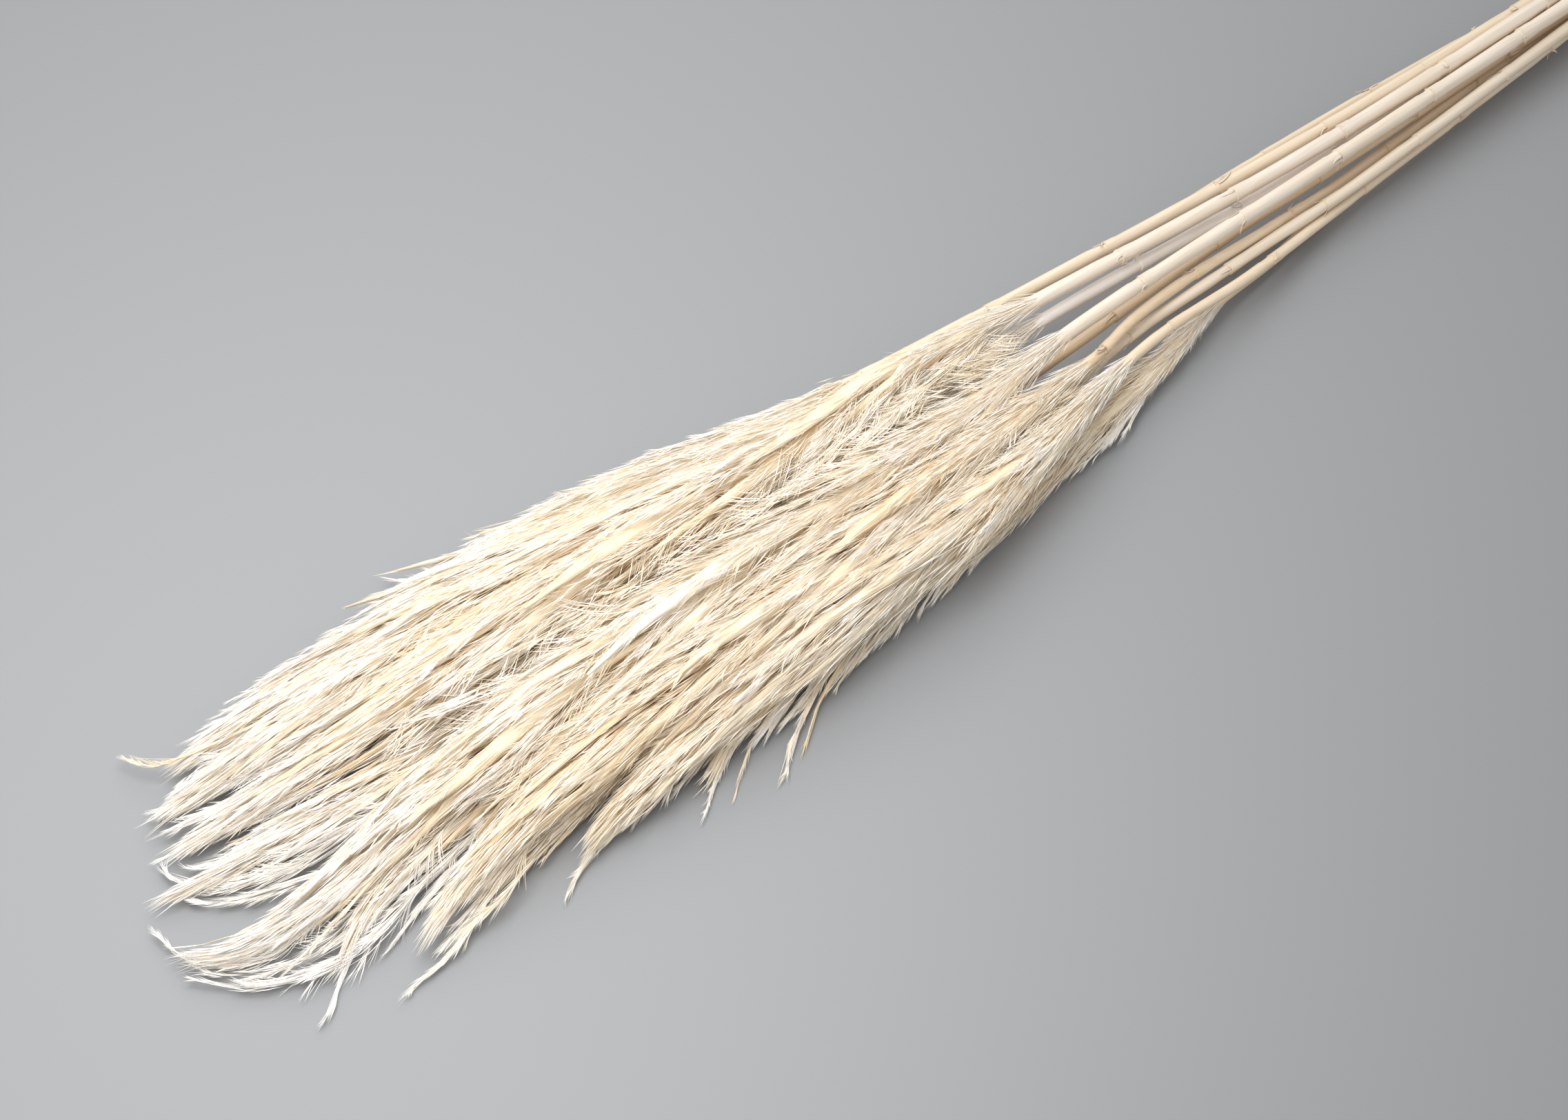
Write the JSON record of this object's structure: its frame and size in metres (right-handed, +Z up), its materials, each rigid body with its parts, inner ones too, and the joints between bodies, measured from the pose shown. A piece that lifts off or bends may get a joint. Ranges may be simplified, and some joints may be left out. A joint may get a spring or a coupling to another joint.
{
  "type": "bundle of reed plumes",
  "caption": "Tied bundle of dried, bleached reeds lying flat: jointed slender stems that run on into long combed drooping plumes.",
  "frame": {"origin": "middle of the bundle's box, on the surface that it lies on", "axes": "+X runs along the bundle from the plumes' tips to the cut ends of the stems, +Z is up"},
  "size_m": [0.8021, 0.163, 0.0501],
  "materials": {
    "culm": "smooth satin",
    "plume": "silky matt fibres",
    "raffia": "dry matt fibre"
  },
  "bodies": {
    "root": {"reed_01_stem": "culm", "reed_01_plume": "plume", "reed_02_stem": "culm", "reed_02_plume": "plume", "reed_03_stem": "culm", "reed_03_plume": "plume", "reed_04_stem": "culm", "reed_04_plume": "plume", "reed_05_stem": "culm", "reed_05_plume": "plume", "reed_06_stem": "culm", "reed_06_plume": "plume", "reed_07_stem": "culm", "reed_07_plume": "plume", "reed_08_stem": "culm", "reed_08_plume": "plume", "reed_09_stem": "culm", "reed_09_plume": "plume", "reed_10_stem": "culm", "reed_10_plume": "plume", "tie": "raffia"}
  },
  "joints": []
}
